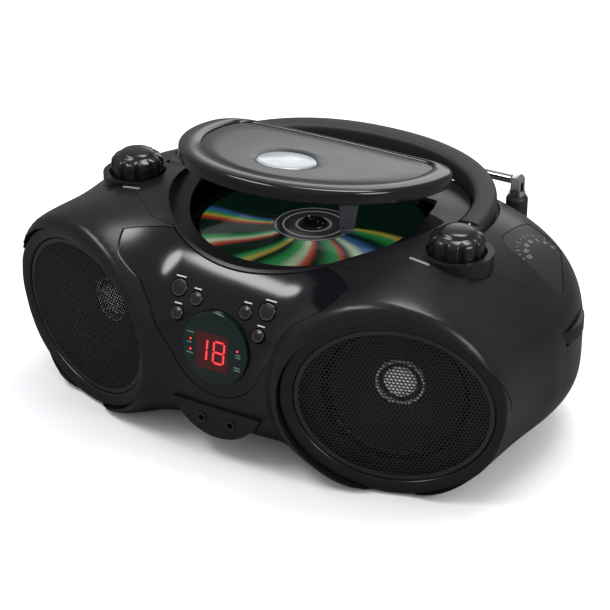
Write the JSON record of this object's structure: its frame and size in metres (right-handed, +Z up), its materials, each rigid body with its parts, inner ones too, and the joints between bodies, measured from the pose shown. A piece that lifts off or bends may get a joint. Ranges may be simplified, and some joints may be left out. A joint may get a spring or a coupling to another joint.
{
  "type": "portable CD and radio boombox",
  "caption": "Rounded portable boombox with angled oval speakers, a top-loading disc deck under an ajar D-shaped lid, a folding handle, knobs, buttons and a telescopic antenna.",
  "frame": {"origin": "on the floor under the middle of the footprint", "axes": "+Z up, -Y out of the front with the display, +X towards the tuning dial and the volume knob"},
  "size_m": [0.2954, 0.1995, 0.1462],
  "materials": {
    "cabinet_black": "semi-gloss moulded",
    "panel_black": "high gloss",
    "trim_black": "gloss",
    "dial_grey": "satin",
    "rubber": "matt",
    "steel": "satin",
    "chrome": "polished",
    "display_green": "gloss",
    "led_red": "diffused",
    "button_black": "satin",
    "circuit_board": "matt",
    "jack_black": "matt",
    "grille_mesh": "satin paint",
    "speaker_steel": "plain",
    "cone_grey": "matt paper-like",
    "deck_black": "matt",
    "motor_steel": "plain",
    "gear_white": "matt",
    "disc_polycarbonate": "mirror backed",
    "lid_gloss": "high gloss",
    "lid_satin": "satin",
    "lid_clear": "clear",
    "latch_grey": "satin",
    "handle_black": "matt",
    "knob_black": "gloss",
    "pointer_red": "matt",
    "battery_blue": "printed sleeve"
  },
  "bodies": {
    "cabinet": {"front_cabinet": "cabinet_black", "top_cabinet": "cabinet_black", "rear_cabinet": "cabinet_black", "control_panel": "panel_black", "jack_plate": "cabinet_black", "dial_scale": "dial_grey", "rubber_feet": "rubber", "board_screws": "steel", "display_window": "display_green", "led_module": "led_red", "button_board": "circuit_board", "phones_jack": "jack_black", "aux_jack": "jack_black", "left_trim_ring": "trim_black", "right_trim_ring": "trim_black", "left_grille": "grille_mesh", "right_grille": "grille_mesh", "speaker_frames": "speaker_steel", "speaker_magnets": "speaker_steel", "cd_well": "deck_black", "cd_chassis": "deck_black", "spindle_motor": "motor_steel", "guide_rods": "steel", "sled_motor": "motor_steel", "lid_hinge_pins": "steel", "handle_pivots": "steel", "rotary_controls": "motor_steel", "tuning_capacitor": "motor_steel", "antenna_socket": "jack_black", "battery_cells": "battery_blue", "main_board": "circuit_board", "transformer": "motor_steel", "ac_inlet": "jack_black"},
    "battery_door": {"battery_door": "cabinet_black"},
    "lid": {"lid_shell": "lid_gloss", "lid_panel": "lid_satin", "lid_window": "lid_clear", "lid_latch": "latch_grey"},
    "handle": {"handle": "handle_black"},
    "function_knob": {"function_knob": "knob_black"},
    "volume_knob": {"volume_knob": "knob_black"},
    "tuning": {"tuning_wheel": "knob_black", "dial_pointer": "pointer_red"},
    "disc_turntable": {"turntable_hub": "deck_black", "disc": "disc_polycarbonate"},
    "pickup": {"optical_pickup": "deck_black"},
    "pickup_gear": {"sled_gear": "gear_white"},
    "swivel": {"antenna_swivel": "chrome"},
    "tube": {"antenna_tube": "chrome"},
    "mid": {"antenna_mid": "chrome"},
    "inner": {"antenna_inner": "chrome"},
    "tip": {"antenna_tip": "chrome"},
    "left_cone": {"left_cone": "cone_grey"},
    "right_cone": {"right_cone": "cone_grey"},
    "stop": {"stop_button": "button_black"},
    "play": {"play_button": "button_black"},
    "program": {"program_button": "button_black"},
    "back": {"back_button": "button_black"},
    "repeat": {"repeat_button": "button_black"},
    "forward": {"forward_button": "button_black"}
  },
  "joints": [
    {"name": "lid_hinge", "type": "hinge", "parent": "cabinet", "child": "lid", "pos_m": [0, 0.0565, 0.108], "axis": [1, 0, 0], "range_deg": [0, 18], "stiffness_Nm_per_rad": 0.06, "springref_deg": -40.11},
    {"name": "handle_hinge", "type": "hinge", "parent": "cabinet", "child": "handle", "pos_m": [0, 0.0115, 0.106], "axis": [1, 0, 0], "range_deg": [0, 90]},
    {"name": "disc_spin", "type": "hinge", "parent": "cabinet", "child": "disc_turntable", "pos_m": [0, 0.0035, 0.095], "axis": [0, 0, 1], "continuous": true},
    {"name": "pickup_travel", "type": "slide", "parent": "cabinet", "child": "pickup", "axis": [1, 0, 0], "range_m": [-0.004, 0.021]},
    {"name": "gear_spin", "type": "hinge", "parent": "cabinet", "child": "pickup_gear", "pos_m": [0.044, -0.0284, 0.0764], "axis": [0, 0, 1], "range_deg": [-125, 25]},
    {"name": "function_turn", "type": "hinge", "parent": "cabinet", "child": "function_knob", "pos_m": [-0.0958, -0.0195, 0.115], "axis": [0, 0, 1], "range_deg": [-45, 45]},
    {"name": "volume_turn", "type": "hinge", "parent": "cabinet", "child": "volume_knob", "pos_m": [0.0958, -0.0195, 0.115], "axis": [0, 0, 1], "range_deg": [-135, 135]},
    {"name": "tuning_turn", "type": "hinge", "parent": "cabinet", "child": "tuning", "pos_m": [0.119, 0.0165, 0.0665], "axis": [0, 0, 1], "range_deg": [-34, 60]},
    {"name": "battery_door_slide", "type": "slide", "parent": "cabinet", "child": "battery_door", "axis": [0, 1, 0], "range_m": [0, 0.04]},
    {"name": "antenna_swivel_turn", "type": "hinge", "parent": "cabinet", "child": "swivel", "pos_m": [0.075, 0.0927, 0.1], "axis": [0, 0, 1], "range_deg": [-180, 0]},
    {"name": "antenna_tilt", "type": "hinge", "parent": "swivel", "child": "tube", "pos_m": [0.075, 0.0927, 0.1042], "axis": [0, 1, 0], "range_deg": [0, 90]},
    {"name": "antenna_mid_slide", "type": "slide", "parent": "tube", "child": "mid", "axis": [-1, 0, 0], "range_m": [0, 0.1]},
    {"name": "antenna_inner_slide", "type": "slide", "parent": "mid", "child": "inner", "axis": [-1, 0, 0], "range_m": [0, 0.1]},
    {"name": "antenna_tip_slide", "type": "slide", "parent": "inner", "child": "tip", "axis": [-1, 0, 0], "range_m": [0, 0.1]},
    {"name": "left_cone_travel", "type": "slide", "parent": "cabinet", "child": "left_cone", "axis": [-0.3086, -0.9498, -0.0523], "range_m": [-0.001, 0.001], "stiffness_N_per_m": 2000},
    {"name": "right_cone_travel", "type": "slide", "parent": "cabinet", "child": "right_cone", "axis": [0.3086, -0.9498, -0.0523], "range_m": [-0.001, 0.001], "stiffness_N_per_m": 2000},
    {"name": "stop_press", "type": "slide", "parent": "cabinet", "child": "stop", "axis": [0, 0.848, -0.5299], "range_m": [0, 0.0008], "stiffness_N_per_m": 400, "springref_m": -0.0005},
    {"name": "play_press", "type": "slide", "parent": "cabinet", "child": "play", "axis": [0, 0.848, -0.5299], "range_m": [0, 0.0008], "stiffness_N_per_m": 400, "springref_m": -0.0005},
    {"name": "program_press", "type": "slide", "parent": "cabinet", "child": "program", "axis": [0, 0.848, -0.5299], "range_m": [0, 0.0008], "stiffness_N_per_m": 400, "springref_m": -0.0005},
    {"name": "back_press", "type": "slide", "parent": "cabinet", "child": "back", "axis": [0, 0.848, -0.5299], "range_m": [0, 0.0008], "stiffness_N_per_m": 400, "springref_m": -0.0005},
    {"name": "repeat_press", "type": "slide", "parent": "cabinet", "child": "repeat", "axis": [0, 0.848, -0.5299], "range_m": [0, 0.0008], "stiffness_N_per_m": 400, "springref_m": -0.0005},
    {"name": "forward_press", "type": "slide", "parent": "cabinet", "child": "forward", "axis": [0, 0.848, -0.5299], "range_m": [0, 0.0008], "stiffness_N_per_m": 400, "springref_m": -0.0005}
  ],
  "couplings": [
    {"joint": "gear_spin", "follows": "pickup_travel", "rad_per_m": -101}
  ]
}
